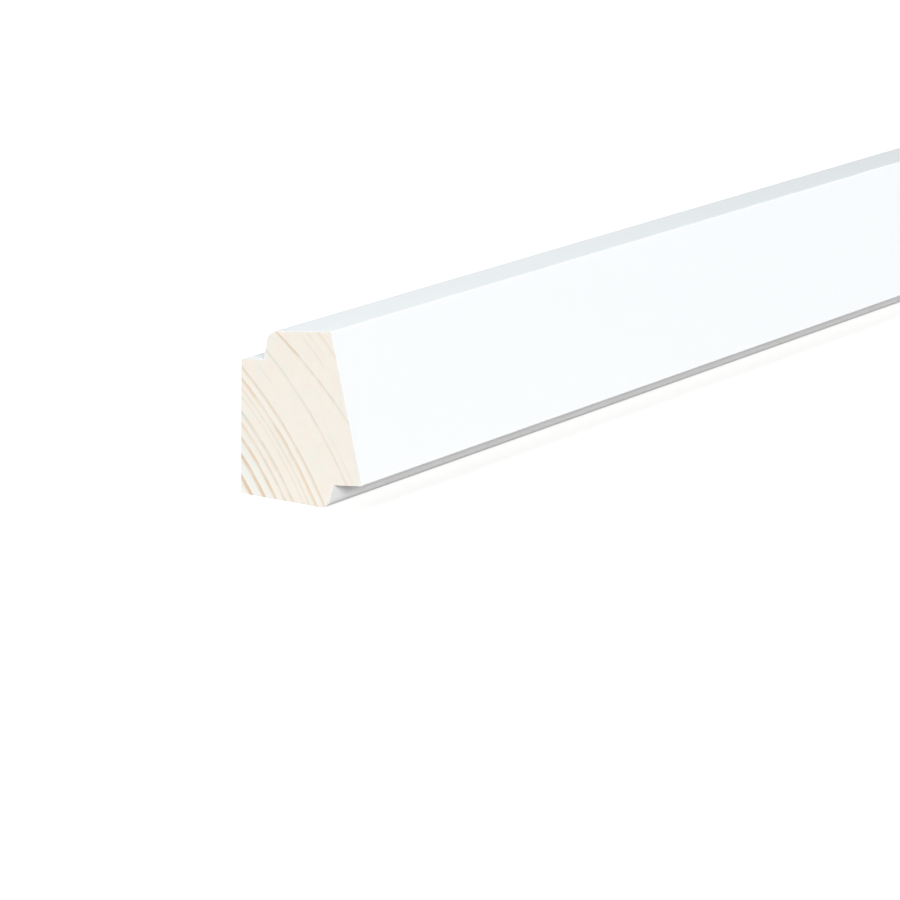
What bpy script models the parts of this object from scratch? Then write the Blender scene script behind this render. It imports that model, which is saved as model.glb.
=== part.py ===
"""A ceiling moulding of solid pine, painted white: one straight length, sawn square at both ends.

The length runs along X. The wall face looks to +Y and the moulded front to -Y. The ceiling face lies
underneath, so the moulding stands on it: in use it is turned over and fixed where a wall meets a ceiling.
The origin is on the ceiling face, half way along the length and half way across the width.
All sizes are in metres.
"""

from math import ceil, cos, pi, radians, tan

import bmesh
import bpy
from mathutils import Matrix, Vector

# Overall sizes, taken to where the faces would meet if no edge were rounded
LENGTH = 0.330
WIDTH = 0.0335
HEIGHT = 0.041

# The step along the wall side
SHOULDER_WIDTH = 0.0063
STEP_DEPTH = 0.0067

# The rebate under the nose, which leaves a shadow line beside the ceiling
NOSE_OVERHANG = 0.0078
GROOVE_DEPTH = 0.0057

# Slopes of the faces. The shoulder, the top and the nose's underside share one tilt.
LEDGE_TILT = radians(6.8)
FACE_LEAN = radians(14.3)
STEP_LEAN = radians(10)
GROOVE_LEAN = radians(17)

# Radii of the rounded edges
STEP_ROUND = 0.003
CEILING_EDGE_ROUND = 0.0025
FRONT_ARRIS = 0.0003
BACK_ARRIS = 0.0004
SHARP = 0.0

# The most that one facet of a rounded edge turns, and the share of a side that a rounded edge may use up
FACET_TURN = radians(12)
SIDE_SHARE = 0.45

PAINT_COLOUR = (0.88, 0.90, 0.91, 1.0)
PINE_COLOUR = (0.87, 0.78, 0.63, 1.0)
PAINT_ROUGHNESS = 0.45
PINE_ROUGHNESS = 0.8
PAINT_SLOT = 0
PINE_SLOT = 1


def section_corners():
    """The section's corners with their radii, anticlockwise from the foot of the wall face.

    A corner is (out, up): its distance from the wall face and its height over the ceiling face.
    """
    groove_out = WIDTH - NOSE_OVERHANG
    nose_up = GROOVE_DEPTH + NOSE_OVERHANG * tan(LEDGE_TILT)
    lip_out = WIDTH - (HEIGHT - nose_up) * tan(FACE_LEAN)
    step_out = SHOULDER_WIDTH + STEP_DEPTH * tan(STEP_LEAN)
    step_up = HEIGHT - (lip_out - step_out) * tan(LEDGE_TILT)
    shoulder_up = step_up - STEP_DEPTH
    return [
        ((0.0, 0.0), BACK_ARRIS),
        ((groove_out - GROOVE_DEPTH * tan(GROOVE_LEAN), 0.0), CEILING_EDGE_ROUND),
        ((groove_out, GROOVE_DEPTH), SHARP),
        ((WIDTH, nose_up), FRONT_ARRIS),
        ((lip_out, HEIGHT), FRONT_ARRIS),
        ((step_out, step_up), STEP_ROUND),
        ((SHOULDER_WIDTH, shoulder_up), SHARP),
        ((0.0, shoulder_up - SHOULDER_WIDTH * tan(LEDGE_TILT)), BACK_ARRIS),
    ]


def round_corner(before, corner, after, radius):
    """The points of the arc that rounds an outward corner, or the corner alone where it stays sharp."""
    if radius == SHARP:
        return [corner]
    to_before = before - corner
    to_after = after - corner
    half_angle = to_before.angle(to_after) / 2
    room = SIDE_SHARE * min(to_before.length, to_after.length)
    tangent = min(radius / tan(half_angle), room)
    bisector = (to_before.normalized() + to_after.normalized()).normalized()
    centre = corner + bisector * tangent / cos(half_angle)
    first_spoke = corner + to_before.normalized() * tangent - centre
    whole_turn = pi - 2 * half_angle
    facets = ceil(whole_turn / FACET_TURN)
    return [centre + Matrix.Rotation(whole_turn * i / facets, 2) @ first_spoke for i in range(facets + 1)]


def section_outline():
    """The whole outline of the section, with its rounded edges."""
    points = [Vector(place) for place, _ in section_corners()]
    radii = [radius for _, radius in section_corners()]
    outline = []
    for i, corner in enumerate(points):
        following = points[(i + 1) % len(points)]
        outline += round_corner(points[i - 1], corner, following, radii[i])
    return outline


def painted_material():
    return plain_material("white_paint", PAINT_COLOUR, PAINT_ROUGHNESS)


def bare_material():
    return plain_material("bare_pine", PINE_COLOUR, PINE_ROUGHNESS)


def plain_material(name, colour, roughness):
    material = bpy.data.materials.new(name)
    material.use_nodes = True
    shader = material.node_tree.nodes["Principled BSDF"]
    shader.inputs["Base Color"].default_value = colour
    shader.inputs["Roughness"].default_value = roughness
    shader.inputs["Metallic"].default_value = 0.0
    return material


def is_bare(face):
    """Whether a face was never painted: a sawn end, the wall face or the ceiling face."""
    outward = face.normal
    return abs(outward.x) > 0.99 or outward.y > 0.99 or outward.z < -0.99


def ceiling_moulding():
    """The moulding: its outline drawn out along the length."""
    outline = section_outline()
    middle_out = (min(p.x for p in outline) + max(p.x for p in outline)) / 2
    shape = bmesh.new()
    near_end = [shape.verts.new((-LENGTH / 2, middle_out - p.x, p.y)) for p in outline]
    drawn = bmesh.ops.extrude_face_region(shape, geom=[shape.faces.new(near_end)])
    far_end = [item for item in drawn["geom"] if isinstance(item, bmesh.types.BMVert)]
    bmesh.ops.translate(shape, verts=far_end, vec=(LENGTH, 0, 0))
    bmesh.ops.recalc_face_normals(shape, faces=shape.faces)
    for face in shape.faces:
        face.material_index = PINE_SLOT if is_bare(face) else PAINT_SLOT

    mesh = bpy.data.meshes.new("ceiling_moulding")
    shape.to_mesh(mesh)
    shape.free()
    mesh.materials.append(painted_material())
    mesh.materials.append(bare_material())
    mesh.shade_smooth()
    mesh.set_sharp_from_angle(angle=radians(25))
    moulding = bpy.data.objects.new("ceiling_moulding", mesh)
    bpy.context.scene.collection.objects.link(moulding)
    return moulding


for old in list(bpy.data.objects):
    bpy.data.objects.remove(old)
ceiling_moulding()
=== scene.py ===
"""The looks of a ceiling moulding: white paint on the moulded faces, bare pine on the wall face, the ceiling
face and the sawn ends, where the growth rings show.

The moulding lies on its ceiling face. Its length runs along X, the wall face looks to +Y and the moulded
front to -Y. All sizes are in metres, and every colour is a linear red, green and blue.
"""

from collections import namedtuple
from math import atan2, ceil, cos, radians, sin

import bpy
import numpy as np
from mathutils import Matrix, Vector, noise


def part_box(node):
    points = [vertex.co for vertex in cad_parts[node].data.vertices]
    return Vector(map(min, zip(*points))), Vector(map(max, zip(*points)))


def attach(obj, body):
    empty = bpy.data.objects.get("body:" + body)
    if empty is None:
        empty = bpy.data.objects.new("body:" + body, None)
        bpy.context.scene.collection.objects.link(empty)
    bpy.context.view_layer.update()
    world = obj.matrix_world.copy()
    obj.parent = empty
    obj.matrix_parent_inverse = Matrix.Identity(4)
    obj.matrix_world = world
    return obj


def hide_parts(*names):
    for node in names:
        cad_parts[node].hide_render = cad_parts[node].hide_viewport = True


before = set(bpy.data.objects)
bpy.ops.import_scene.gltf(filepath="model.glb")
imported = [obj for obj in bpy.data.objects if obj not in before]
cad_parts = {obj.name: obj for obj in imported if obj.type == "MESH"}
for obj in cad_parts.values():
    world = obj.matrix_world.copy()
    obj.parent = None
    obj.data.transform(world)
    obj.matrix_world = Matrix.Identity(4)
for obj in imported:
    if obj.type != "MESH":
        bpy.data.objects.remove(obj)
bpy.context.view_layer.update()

MM = 0.001
NODE = "ceiling_moulding"
low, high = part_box(NODE)
NEAR_END = low.x
FAR_END = high.x
WALL_FACE = high.y

# The camera, placed from the near end's corner at the foot of the wall face
CAMERA_BACK = 773.4 * MM
CAMERA_ASIDE = 561.5 * MM
CAMERA_HEIGHT = 246.7 * MM
CAMERA_HEADING = radians(33.12)
CAMERA_DOWN = radians(13.88)
CAMERA_ROLL = radians(0.79)
CAMERA_LENS_MM = 172.3
CAMERA_SENSOR_MM = 36

# The tree that the strip was sawn from. Its pith lies beyond the corner where the wall face and the
# ceiling face meet.
PITH_OUT = -66.5 * MM
PITH_UP = -46.8 * MM
ACROSS_THE_RINGS = radians(38.8)

ORANGE = "orange"
BROWN = "brown"
GREY = "grey"
PALE = "pale"

# One of the lines that the growth rings draw: its radius from the pith, width, strength and tone. tilt is
# how much it leans from a true circle, and reach is the stretch where it shows. Both run along the ring.
Ring = namedtuple("Ring", "radius width strength tone tilt reach", defaults=(0.0, None))
RINGS = [
    Ring(80.4 * MM, 0.8 * MM, 1.0, ORANGE),
    Ring(83.9 * MM, 0.85 * MM, 1.0, ORANGE),
    Ring(87.0 * MM, 0.8 * MM, 0.95, ORANGE),
    Ring(89.7 * MM, 0.7 * MM, 0.8, ORANGE),
    Ring(91.9 * MM, 0.6 * MM, 0.42, GREY, reach=(-40 * MM, 2 * MM)),
    Ring(91.9 * MM, 0.6 * MM, 0.55, BROWN, reach=(2 * MM, 40 * MM)),
    Ring(93.8 * MM, 0.7 * MM, 0.4, GREY),
    Ring(96.4 * MM, 0.45 * MM, 0.2, GREY),
    Ring(97.7 * MM, 0.5 * MM, 0.25, GREY),
    Ring(99.4 * MM, 0.65 * MM, 0.62, ORANGE, reach=(-40 * MM, 3 * MM)),
    Ring(99.4 * MM, 0.55 * MM, 0.4, BROWN, reach=(3 * MM, 9 * MM)),
    Ring(99.4 * MM, 0.65 * MM, 0.62, ORANGE, reach=(9 * MM, 40 * MM)),
    Ring(100.4 * MM, 0.8 * MM, 0.4, PALE),
    Ring(101.5 * MM, 0.6 * MM, 0.6, BROWN),
    Ring(105.3 * MM, 0.35 * MM, 0.2, GREY, reach=(11 * MM, 15 * MM)),
    Ring(109.6 * MM, 0.55 * MM, 0.3, GREY),
    Ring(111.3 * MM, 0.5 * MM, 0.12, GREY, reach=(-19 * MM, -7 * MM)),
    Ring(116.8 * MM, 0.5 * MM, 0.36, GREY, tilt=0.1),
    Ring(116.8 * MM, 0.5 * MM, 0.5, ORANGE, tilt=0.1, reach=(12 * MM, 40 * MM)),
    Ring(119.7 * MM, 0.4 * MM, 0.2, GREY, reach=(6 * MM, 14 * MM)),
    Ring(121.4 * MM, 0.45 * MM, 0.18, GREY, reach=(8 * MM, 16 * MM)),
    Ring(123.8 * MM, 0.6 * MM, 0.28, ORANGE),
    Ring(127.6 * MM, 0.6 * MM, 0.6, ORANGE),
]
# A line darkens slowly on the pith side and ends sharply: the share of its width that each change takes up
SLOW_SIDE = 1.4
SHARP_SIDE = 0.6
REACH_SOFT = 1.5 * MM

# How far the rings stray from their radius towards the far end, and everywhere
RING_WANDER = 9 * MM
RING_RIPPLE = 0.35 * MM

# The sizes of the patterns: how long they are along the moulding, and how wide across it
WANDER_PATTERN = (160 * MM, 60 * MM)
RIPPLE_PATTERN = (60 * MM, 3 * MM)
FADING_PATTERN = (90 * MM, 3.5 * MM)
WARM_PATTERN = (50 * MM, 2.6 * MM)
COOL_PATTERN = (35 * MM, 3.4 * MM)
END_FIBRES = (20 * MM, 0.25 * MM)
SIDE_FIBRES = (30 * MM, 0.3 * MM)
GRAIN_UNDER_PAINT = (40 * MM, 0.8 * MM)
PAINT_TEXTURE = (0.9 * MM, 0.9 * MM)

# Where the wood is warmer or paler than elsewhere: along the rings, and by radius
WARM_ALONG = (3 * MM, 16 * MM)
WARM_RADIUS = (98 * MM, 103 * MM)
INNER_RADIUS = (88 * MM, 92 * MM)

# The fine mesh
OUTLINE_STEP = 0.33 * MM
LENGTH_STEPS = 40
SHELL_STEP = 0.33 * MM
PAINT_FILM = 0.12 * MM
RING_RELIEF = 0.03 * MM
TORN_EDGE = 0.10 * MM
TORN_GRAIN = 1.1 * MM
NEAR_END_SEED = 1.7
FAR_END_SEED = 8.3
NORMAL_SPLIT = radians(30)

# A side of the outline is bare where its direction has at least this share along the wall or the ceiling
SQUARE_ON = 0.999

PAINT_SLOT = 0
PINE_SLOT = 1
END_SLOT = 2

# Colours
PAINT_COLOUR = (0.822, 0.848, 0.868, 1.0)
EARLYWOOD = (0.798, 0.770, 0.712, 1.0)
WARM_PATCH = (0.808, 0.751, 0.680, 1.0)
COOL_PATCH = (0.776, 0.766, 0.712, 1.0)
INNER_WOOD = (0.773, 0.785, 0.765, 1.0)
END_FIBRE_COLOUR = (0.55, 0.50, 0.42, 1.0)
SIDE_FIBRE_COLOUR = (0.62, 0.52, 0.38, 1.0)
TONES = {
    PALE: (0.82, 0.82, 0.80, 1.0),
    GREY: (0.505, 0.47, 0.39, 1.0),
    BROWN: (0.63, 0.525, 0.41, 1.0),
    ORANGE: (0.645, 0.49, 0.325, 1.0),
}

# The studio. The floor and the sky behind it look white to the camera, and light the moulding less than
# that would.
SKY_COLOUR = (1.0, 1.0, 1.0, 1.0)
SKY_STRENGTH = 0.06
FLOOR_COLOUR = (0.52, 0.48, 0.44, 1.0)
FLOOR_GLOW_COLOUR = (0.93, 0.97, 1.0, 1.0)
FLOOR_GLOW = 0.7
FAR_FLOOR_GLOW = 1.0
FAR_FLOOR = 1.5
FLOOR_SIZE = 12.0
FLOOR_GAP = 0.02 * MM
STUDIO_CENTRE = Vector((-80 * MM, 0, 20 * MM))

KEY_DIRECTION = Vector((-0.59, -0.725, 0.35))
KEY_ANGLE = radians(14)
KEY_STRENGTH = 2.98
KEY_COLOUR = (0.99, 0.985, 1.0)

# A soft light: where it shines from, its distance, its width, its power and its colour
SoftLight = namedtuple("SoftLight", "direction distance width power colour")
SOFT_LIGHTS = {
    "overhead": SoftLight(Vector((-0.2, 0, 1)), 2.0, 1.5, 14.2, (0.83, 0.98, 1.0)),
    "overhead_near": SoftLight(Vector((-0.35, 0, 1)), 0.75, 0.5, 2.2, (1.0, 0.93, 0.88)),
    "near_end_fill": SoftLight(Vector((-0.75, 0.6, 0.3)), 2.0, 1.2, 6.0, (1.0, 1.0, 1.0)),
    "wall_side_fill": SoftLight(Vector((-0.1, 1.0, 0.2)), 2.0, 0.8, 14.0, (1.0, 1.0, 1.0)),
    "far_end_fill": SoftLight(Vector((1.0, -0.05, 0.1)), 3.0, 0.6, 42.0, (1.0, 1.0, 1.0)),
}


def add(tree, kind, inputs, **settings):
    """A new node with its settings. An input is linked where a socket is given and set where a value is."""
    node = tree.nodes.new(kind)
    for name, value in settings.items():
        setattr(node, name, value)
    for key, value in inputs.items():
        if isinstance(value, bpy.types.NodeSocket):
            tree.links.new(value, node.inputs[key])
        else:
            node.inputs[key].default_value = value
    return node


def calculate(tree, operation, *values):
    return add(tree, "ShaderNodeMath", dict(enumerate(values)), operation=operation).outputs[0]


def calculate_vector(tree, operation, *vectors):
    return add(tree, "ShaderNodeVectorMath", dict(enumerate(vectors)), operation=operation)


def ramp(tree, value, start, end, low_value=0.0, high_value=1.0):
    """Turns a value from start to end smoothly into low_value to high_value."""
    inputs = {"Value": value, "From Min": start, "From Max": end, "To Min": low_value, "To Max": high_value}
    return add(tree, "ShaderNodeMapRange", inputs, interpolation_type="SMOOTHSTEP").outputs[0]


def stretched(tree, place, along, across):
    """Coordinates in which a pattern is along long on X and across wide on Y and Z."""
    return calculate_vector(tree, "MULTIPLY", place, (1 / along, 1 / across, 1 / across)).outputs["Vector"]


def clouds(tree, coordinates, detail=2.0, roughness=0.5):
    inputs = {"Vector": coordinates, "Scale": 1.0, "Detail": detail, "Roughness": roughness}
    return add(tree, "ShaderNodeTexNoise", inputs).outputs["Fac"]


def mix_colours(tree, factor, first, second):
    inputs = {0: factor, 6: first, 7: second}
    return add(tree, "ShaderNodeMix", inputs, data_type="RGBA").outputs[2]


def new_material(name):
    material = bpy.data.materials.new(name)
    material.use_nodes = True
    tree = material.node_tree
    return material, tree, tree.nodes["Principled BSDF"]


def object_place(tree):
    return add(tree, "ShaderNodeTexCoord", {}).outputs["Object"]


def ring_coordinates(tree, place):
    """The distance from the pith, and the way along the rings from the middle of the section."""
    pith = (0.0, WALL_FACE - PITH_OUT, PITH_UP)
    section_only = (0.0, 1.0, 1.0)
    tangent = (0.0, sin(ACROSS_THE_RINGS), cos(ACROSS_THE_RINGS))
    from_pith = calculate_vector(tree, "SUBTRACT", place, pith).outputs["Vector"]
    flat = calculate_vector(tree, "MULTIPLY", from_pith, section_only).outputs["Vector"]
    radius = calculate_vector(tree, "LENGTH", flat).outputs["Value"]
    along = calculate_vector(tree, "DOT_PRODUCT", flat, tangent).outputs["Value"]

    # The stem bends a little, so the rings wander away from the near end on
    x = add(tree, "ShaderNodeSeparateXYZ", {0: place}).outputs["X"]
    taper = ramp(tree, x, NEAR_END, FAR_END)
    bend = calculate(tree, "SUBTRACT", clouds(tree, stretched(tree, place, *WANDER_PATTERN)), 0.5)
    wander = calculate(tree, "MULTIPLY", calculate(tree, "MULTIPLY", bend, taper), RING_WANDER)
    ripple = calculate(tree, "SUBTRACT", clouds(tree, stretched(tree, place, *RIPPLE_PATTERN)), 0.5)
    radius = calculate(tree, "ADD", radius, wander)
    radius = calculate(tree, "MULTIPLY_ADD", ripple, RING_RIPPLE, radius)
    return radius, along


def ring_lines(tree, place, radius, along):
    """The strength of the ring lines, by tone. The fainter ones come and go along their way."""
    coming_and_going = clouds(tree, stretched(tree, place, *FADING_PATTERN))
    bold = ramp(tree, coming_and_going, 0.3, 0.6, 0.8, 1.05)
    broken = ramp(tree, coming_and_going, 0.35, 0.62, 0.65, 1.15)
    fading = {PALE: bold, GREY: broken, BROWN: bold, ORANGE: bold}
    lines = {tone: 0.0 for tone in TONES}
    for ring in RINGS:
        beyond = calculate(tree, "SUBTRACT", radius, ring.radius)
        if ring.tilt:
            beyond = calculate(tree, "MULTIPLY_ADD", along, ring.tilt, beyond)
        slow = ramp(tree, beyond, -ring.width * SLOW_SIDE, 0.0)
        sharp = ramp(tree, beyond, 0.0, ring.width * SHARP_SIDE, ring.strength, 0.0)
        line = calculate(tree, "MULTIPLY", slow, sharp)
        if ring.reach:
            start, end = ring.reach
            begun = ramp(tree, along, start - REACH_SOFT, start + REACH_SOFT)
            going_on = ramp(tree, along, end - REACH_SOFT, end + REACH_SOFT, 1.0, 0.0)
            line = calculate(tree, "MULTIPLY", line, begun)
            line = calculate(tree, "MULTIPLY", line, going_on)
        lines[ring.tone] = calculate(tree, "MAXIMUM", lines[ring.tone], line)
    return {tone: calculate(tree, "MULTIPLY", line, fading[tone]) for tone, line in lines.items()}


def pine_colour(tree, place):
    """The colour of the bare wood, and the strength of its dark lines together."""
    radius, along = ring_coordinates(tree, place)
    lines = ring_lines(tree, place, radius, along)
    warm = ramp(tree, clouds(tree, stretched(tree, place, *WARM_PATTERN)), 0.48, 0.68)
    warm = calculate(tree, "MAXIMUM", warm, ramp(tree, along, *WARM_ALONG, 0.0, 0.6))
    warm = calculate(tree, "MAXIMUM", warm, ramp(tree, radius, *WARM_RADIUS, 0.5, 0.0))
    colour = mix_colours(tree, warm, EARLYWOOD, WARM_PATCH)
    cool = ramp(tree, clouds(tree, stretched(tree, place, *COOL_PATTERN)), 0.5, 0.7)
    colour = mix_colours(tree, cool, colour, COOL_PATCH)
    inner = ramp(tree, radius, *INNER_RADIUS, 1.0, 0.0)
    colour = mix_colours(tree, inner, colour, INNER_WOOD)
    for tone, strength in lines.items():
        colour = mix_colours(tree, strength, colour, TONES[tone])
    dark = 0.0
    for tone in (GREY, BROWN, ORANGE):
        dark = calculate(tree, "MAXIMUM", dark, lines[tone])
    return colour, dark


def end_grain():
    """The sawn ends."""
    material, tree, shader = new_material("pine_end_grain")
    place = object_place(tree)
    colour, lines = pine_colour(tree, place)
    fibres = clouds(tree, stretched(tree, place, *END_FIBRES), detail=3.0, roughness=0.6)
    colour = mix_colours(tree, ramp(tree, fibres, 0.45, 0.75, 0.0, 0.12), colour, END_FIBRE_COLOUR)
    tree.links.new(colour, shader.inputs["Base Color"])
    shader.inputs["Roughness"].default_value = 0.85
    shader.inputs["Specular IOR Level"].default_value = 0.25
    height = calculate(tree, "MULTIPLY_ADD", lines, 0.6, fibres)
    bump = add(tree, "ShaderNodeBump", {"Height": height, "Strength": 0.25, "Distance": 0.05 * MM})
    tree.links.new(bump.outputs[0], shader.inputs["Normal"])
    return material


def side_grain():
    """The planed wall face and ceiling face, which were never painted."""
    material, tree, shader = new_material("pine_side_grain")
    place = object_place(tree)
    colour, lines = pine_colour(tree, place)
    fibres = clouds(tree, stretched(tree, place, *SIDE_FIBRES), detail=4.0, roughness=0.6)
    colour = mix_colours(tree, ramp(tree, fibres, 0.4, 0.7, 0.0, 0.3), colour, SIDE_FIBRE_COLOUR)
    tree.links.new(colour, shader.inputs["Base Color"])
    shader.inputs["Roughness"].default_value = 0.7
    shader.inputs["Specular IOR Level"].default_value = 0.3
    bump = add(tree, "ShaderNodeBump", {"Height": fibres, "Strength": 0.3, "Distance": 0.05 * MM})
    tree.links.new(bump.outputs[0], shader.inputs["Normal"])
    return material


def white_paint():
    """Smooth satin paint with a trace of the grain under it."""
    material, tree, shader = new_material("white_paint")
    place = object_place(tree)
    shader.inputs["Base Color"].default_value = PAINT_COLOUR
    shader.inputs["Roughness"].default_value = 0.55
    shader.inputs["Specular IOR Level"].default_value = 0.15
    grain = clouds(tree, stretched(tree, place, *GRAIN_UNDER_PAINT), detail=3.0)
    film = clouds(tree, stretched(tree, place, *PAINT_TEXTURE), detail=2.0)
    height = calculate(tree, "MULTIPLY_ADD", film, 0.5, grain)
    bump = add(tree, "ShaderNodeBump", {"Height": height, "Strength": 0.12, "Distance": 0.03 * MM})
    tree.links.new(bump.outputs[0], shader.inputs["Normal"])
    return material


def section_outline():
    """The section's outline as model.glb has it, as (y, z) points in order around the middle."""
    points = set()
    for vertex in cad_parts[NODE].data.vertices:
        if vertex.co.x == NEAR_END:
            points.add((vertex.co.y, vertex.co.z))
    middle = section_middle()
    return sorted(points, key=lambda point: atan2(point[1] - middle[1], point[0] - middle[0]))


def section_middle():
    return ((low.y + high.y) / 2, (low.z + high.z) / 2)


def finer(outline):
    """The outline with its long sides split, as an array."""
    points = []
    for i, start in enumerate(outline):
        start = np.array(start)
        side = np.array(outline[(i + 1) % len(outline)]) - start
        parts = ceil(np.linalg.norm(side) / OUTLINE_STEP)
        points += [start + side * part / parts for part in range(parts)]
    return np.array(points)


def is_bare(side):
    """Whether a side of the outline, given as its (y, z) run, is on the wall face or the ceiling face."""
    across, up = side / np.linalg.norm(side)
    return up > SQUARE_ON or across > SQUARE_ON


def latewood_height(points):
    """How proud the end grain stands at (y, z) points, from 0 to 1: latewood is harder than earlywood."""
    across = WALL_FACE - points[:, 0] - PITH_OUT
    up = points[:, 1] - PITH_UP
    radius = np.hypot(across, up)
    along = up * cos(ACROSS_THE_RINGS) - across * sin(ACROSS_THE_RINGS)
    height = np.zeros(len(points))
    for ring in RINGS:
        if ring.tone == PALE:
            continue
        beyond = radius + ring.tilt * along - ring.radius
        slow = np.clip(1 + beyond / (ring.width * SLOW_SIDE), 0, 1)
        sharp = np.clip(1 - beyond / (ring.width * SHARP_SIDE), 0, 1)
        height = np.maximum(height, ring.strength * slow * sharp)
    return height


def torn(points, seed):
    """Uneven depths from 0 to 1, for the fibres that the saw tore out of an edge."""
    depths = []
    for y, z in points:
        depths.append(max(0.0, noise.noise(Vector((y / TORN_GRAIN, z / TORN_GRAIN, seed)))))
    return np.array(depths)


def end_shells(outline):
    """The rings of points that cover a sawn end: the outline, the paint film's inner edge and the rest."""
    middle = np.array(section_middle())
    spokes = outline - middle
    lengths = np.linalg.norm(spokes, axis=1)[:, None]
    shells = [outline, middle + spokes * (1 - PAINT_FILM / lengths)]
    count = ceil(lengths.max() / SHELL_STEP)
    for i in range(1, count):
        share = (1 - i / count) * (1 - PAINT_FILM / lengths)
        shells.append(middle + spokes * share)
    return shells


def moulding_mesh():
    """The whole moulding: the drawn-out sides and the two sawn ends, as one closed mesh."""
    outline = finer(section_outline())
    count = len(outline)
    sides = np.roll(outline, -1, axis=0) - outline
    side_slots = [PINE_SLOT if is_bare(side) else PAINT_SLOT for side in sides]
    film_slots = [END_SLOT if is_bare(side) else PAINT_SLOT for side in sides]
    end_slots = [END_SLOT] * count
    vertices, faces, slots = [], [], []

    def put_ring(x_values, points):
        start = len(vertices)
        vertices.extend((x, y, z) for x, (y, z) in zip(x_values, points))
        return start

    def join_rings(first, second, ring_slots):
        for i in range(count):
            following = (i + 1) % count
            faces.append((first + i, first + following, second + following, second + i))
        slots.extend(ring_slots)

    def close_end(rim, x_end, inward, shells, turned):
        """Covers one sawn end. inward is +1 or -1 along X, and turned flips the faces."""
        previous = rim
        for shell_number, shell in enumerate(shells[1:], start=1):
            depth = RING_RELIEF * (1 - latewood_height(shell))
            ring = put_ring(x_end + inward * depth, shell)
            first, second = (ring, previous) if turned else (previous, ring)
            join_rings(first, second, film_slots if shell_number == 1 else end_slots)
            previous = ring
        middle = section_middle()
        hub = len(vertices)
        vertices.append((x_end + inward * RING_RELIEF, *middle))
        for i in range(count):
            following = (i + 1) % count
            spoke = (previous + i, previous + following, hub)
            faces.append(spoke[::-1] if turned else spoke)
        slots.extend(end_slots)

    shells = end_shells(outline)
    rim_depth = RING_RELIEF * (1 - latewood_height(outline))
    near_depth = rim_depth + TORN_EDGE * torn(outline, NEAR_END_SEED)
    far_depth = rim_depth + TORN_EDGE * torn(outline, FAR_END_SEED)
    near_rim = put_ring(NEAR_END + near_depth, outline)
    previous = near_rim
    for step in range(1, LENGTH_STEPS):
        x = NEAR_END + (FAR_END - NEAR_END) * step / LENGTH_STEPS
        ring = put_ring([x] * count, outline)
        join_rings(ring, previous, side_slots)
        previous = ring
    far_rim = put_ring(FAR_END - far_depth, outline)
    join_rings(far_rim, previous, side_slots)
    close_end(near_rim, NEAR_END, 1, shells, turned=True)
    close_end(far_rim, FAR_END, -1, shells, turned=False)

    mesh = bpy.data.meshes.new("painted_moulding")
    mesh.from_pydata(vertices, [], faces)
    mesh.polygons.foreach_set("material_index", slots)
    mesh.shade_smooth()
    mesh.set_sharp_from_angle(angle=NORMAL_SPLIT)
    mesh.update()
    return mesh


def painted_moulding():
    mesh = moulding_mesh()
    for material in (white_paint(), side_grain(), end_grain()):
        mesh.materials.append(material)
    moulding = bpy.data.objects.new("painted_moulding", mesh)
    bpy.context.scene.collection.objects.link(moulding)
    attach(moulding, "root")
    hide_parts(NODE)
    return moulding


def seen_or_not(tree, seen, otherwise):
    """One value for what the camera sees directly, and another for the light that reaches the moulding."""
    camera_ray = add(tree, "ShaderNodeLightPath", {}).outputs["Is Camera Ray"]
    inputs = {"Value": camera_ray, "To Min": otherwise, "To Max": seen}
    return add(tree, "ShaderNodeMapRange", inputs).outputs[0]


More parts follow.
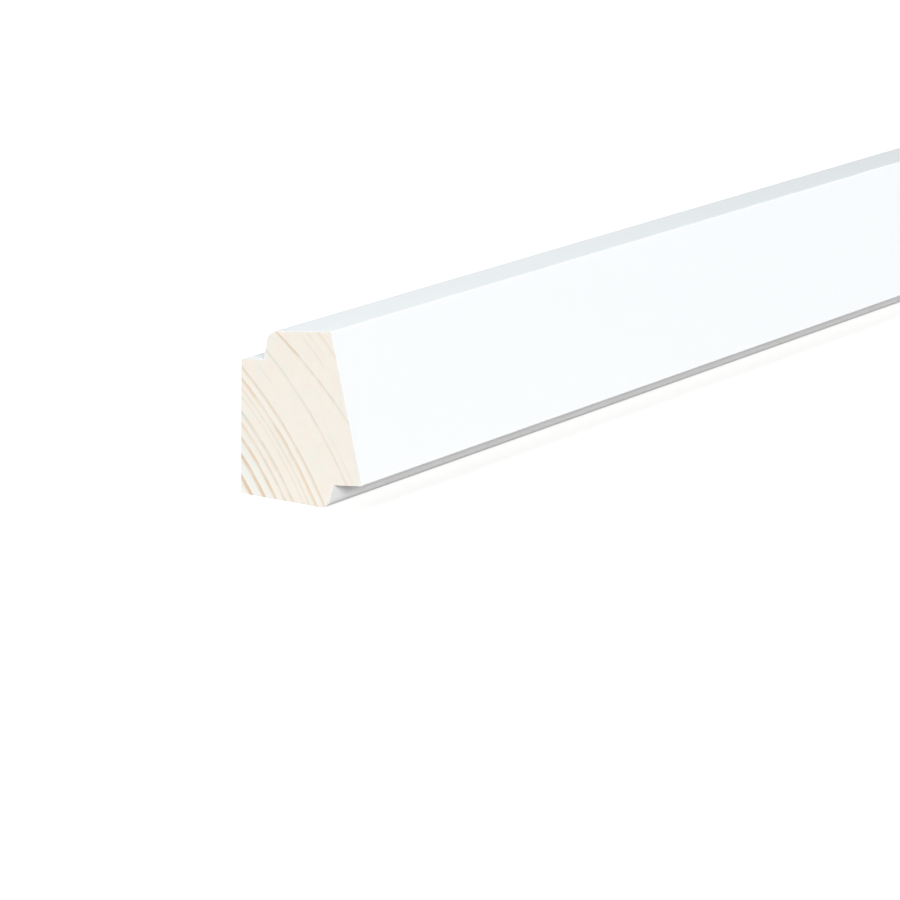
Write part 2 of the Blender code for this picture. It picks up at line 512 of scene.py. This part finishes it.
def floor():
    material, tree, shader = new_material("pale_floor")
    shader.inputs["Base Color"].default_value = FLOOR_COLOUR
    shader.inputs["Roughness"].default_value = 0.9
    shader.inputs["Specular IOR Level"].default_value = 0.0
    shader.inputs["Emission Color"].default_value = FLOOR_GLOW_COLOUR
    distance = calculate_vector(tree, "LENGTH", object_place(tree)).outputs["Value"]
    glow = ramp(tree, distance, FAR_END, FAR_FLOOR, FLOOR_GLOW, FAR_FLOOR_GLOW)
    tree.links.new(seen_or_not(tree, glow, 0.0), shader.inputs["Emission Strength"])
    half = FLOOR_SIZE / 2
    mesh = bpy.data.meshes.new("floor")
    corners = [(-half, -half, 0), (half, -half, 0), (half, half, 0), (-half, half, 0)]
    mesh.from_pydata(corners, [], [(0, 1, 2, 3)])
    mesh.materials.append(material)
    plane = bpy.data.objects.new("floor", mesh)
    plane.location.z = low.z - FLOOR_GAP
    bpy.context.scene.collection.objects.link(plane)


def lamp(name, kind, direction, distance):
    """A light that shines on the moulding from a direction."""
    data = bpy.data.lights.new(name, kind)
    holder = bpy.data.objects.new(name, data)
    holder.location = STUDIO_CENTRE + direction.normalized() * distance
    holder.rotation_euler = direction.to_track_quat("Z", "Y").to_euler()
    bpy.context.scene.collection.objects.link(holder)
    return data


def studio():
    world = bpy.data.worlds.new("studio")
    world.use_nodes = True
    tree = world.node_tree
    background = tree.nodes["Background"]
    tree.links.new(seen_or_not(tree, 1.0, SKY_STRENGTH), background.inputs["Strength"])
    background.inputs["Color"].default_value = SKY_COLOUR
    bpy.context.scene.world = world

    key = lamp("key", "SUN", KEY_DIRECTION, 1.0)
    key.angle = KEY_ANGLE
    key.energy = KEY_STRENGTH
    key.color = KEY_COLOUR
    for name, soft in SOFT_LIGHTS.items():
        data = lamp(name, "AREA", soft.direction, soft.distance)
        data.size = soft.width
        data.energy = soft.power
        data.color = soft.colour
    bpy.context.scene.view_settings.view_transform = "Standard"


def camera():
    data = bpy.data.cameras.new("camera")
    data.sensor_width = CAMERA_SENSOR_MM
    data.lens = CAMERA_LENS_MM
    data.clip_start = 0.01
    data.clip_end = 50
    view = bpy.data.objects.new("camera", data)
    view.location = (NEAR_END - CAMERA_BACK, WALL_FACE - CAMERA_ASIDE, CAMERA_HEIGHT)
    turn = Matrix.Rotation(CAMERA_HEADING - radians(90), 3, "Z")
    tilt = Matrix.Rotation(radians(90) - CAMERA_DOWN, 3, "X")
    roll = Matrix.Rotation(CAMERA_ROLL, 3, "Z")
    view.rotation_euler = (turn @ tilt @ roll).to_euler()
    bpy.context.scene.collection.objects.link(view)
    bpy.context.scene.camera = view


painted_moulding()
floor()
studio()
camera()
